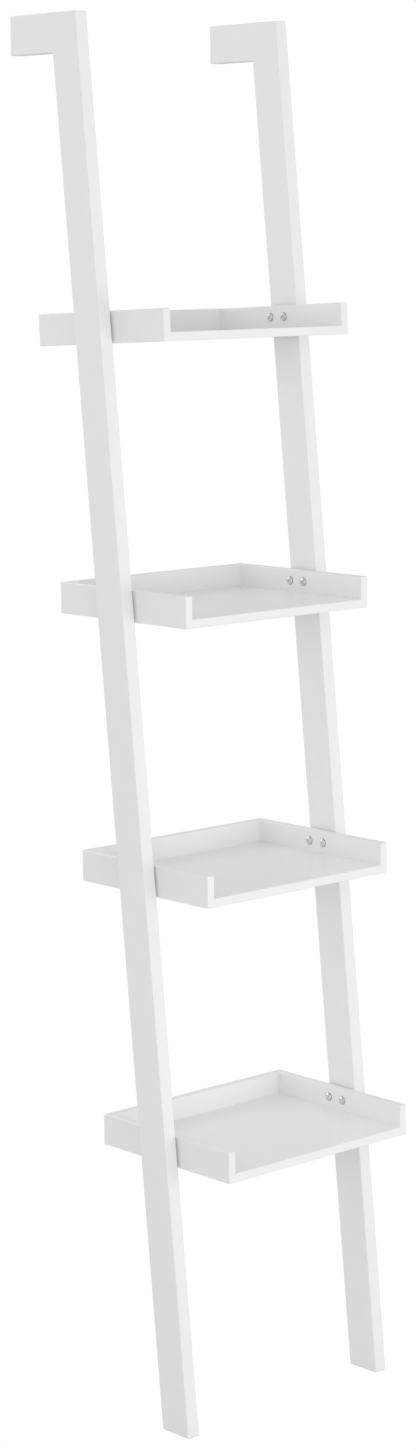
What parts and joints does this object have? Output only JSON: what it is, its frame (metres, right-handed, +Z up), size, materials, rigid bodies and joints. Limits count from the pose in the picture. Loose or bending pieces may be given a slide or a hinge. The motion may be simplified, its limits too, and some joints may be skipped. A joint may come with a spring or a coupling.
{
  "type": "ladder shelf",
  "caption": "Tall narrow leaning shelf: two rails shaped like a figure 7 stand on the floor, rest on the wall and carry open-fronted trays bolted between them.",
  "frame": {"origin": "on the floor, in the middle of the box that the shelf takes up", "axes": "+Z up; +Y towards the wall, so the open fronts of the trays face -Y; +X to the right as seen from the front"},
  "size_m": [0.38, 0.3898, 1.9],
  "materials": {
    "white_lacquer": "white satin lacquer on fibreboard",
    "beech_dowel": "bare beech, fluted",
    "bolt_steel": "bright zinc plate",
    "brass_insert": "turned brass",
    "grey_nylon": "moulded grey nylon"
  },
  "bodies": {
    "root": {"left_leg": "white_lacquer", "left_top_arm": "white_lacquer", "left_mitre_dowels": "beech_dowel", "left_leg_inserts": "brass_insert", "right_leg": "white_lacquer", "right_top_arm": "white_lacquer", "right_mitre_dowels": "beech_dowel", "right_leg_inserts": "brass_insert", "top_tray_panel": "white_lacquer", "top_tray_left_side": "white_lacquer", "top_tray_right_side": "white_lacquer", "top_tray_back_rail": "white_lacquer", "top_tray_dowels": "beech_dowel", "top_tray_bolts": "bolt_steel", "top_tray_spacers": "grey_nylon", "upper_tray_panel": "white_lacquer", "upper_tray_left_side": "white_lacquer", "upper_tray_right_side": "white_lacquer", "upper_tray_back_rail": "white_lacquer", "upper_tray_dowels": "beech_dowel", "upper_tray_bolts": "bolt_steel", "upper_tray_spacers": "grey_nylon", "lower_tray_panel": "white_lacquer", "lower_tray_left_side": "white_lacquer", "lower_tray_right_side": "white_lacquer", "lower_tray_back_rail": "white_lacquer", "lower_tray_dowels": "beech_dowel", "lower_tray_bolts": "bolt_steel", "lower_tray_spacers": "grey_nylon", "bottom_tray_panel": "white_lacquer", "bottom_tray_left_side": "white_lacquer", "bottom_tray_right_side": "white_lacquer", "bottom_tray_back_rail": "white_lacquer", "bottom_tray_dowels": "beech_dowel", "bottom_tray_bolts": "bolt_steel", "bottom_tray_spacers": "grey_nylon"}
  },
  "joints": []
}
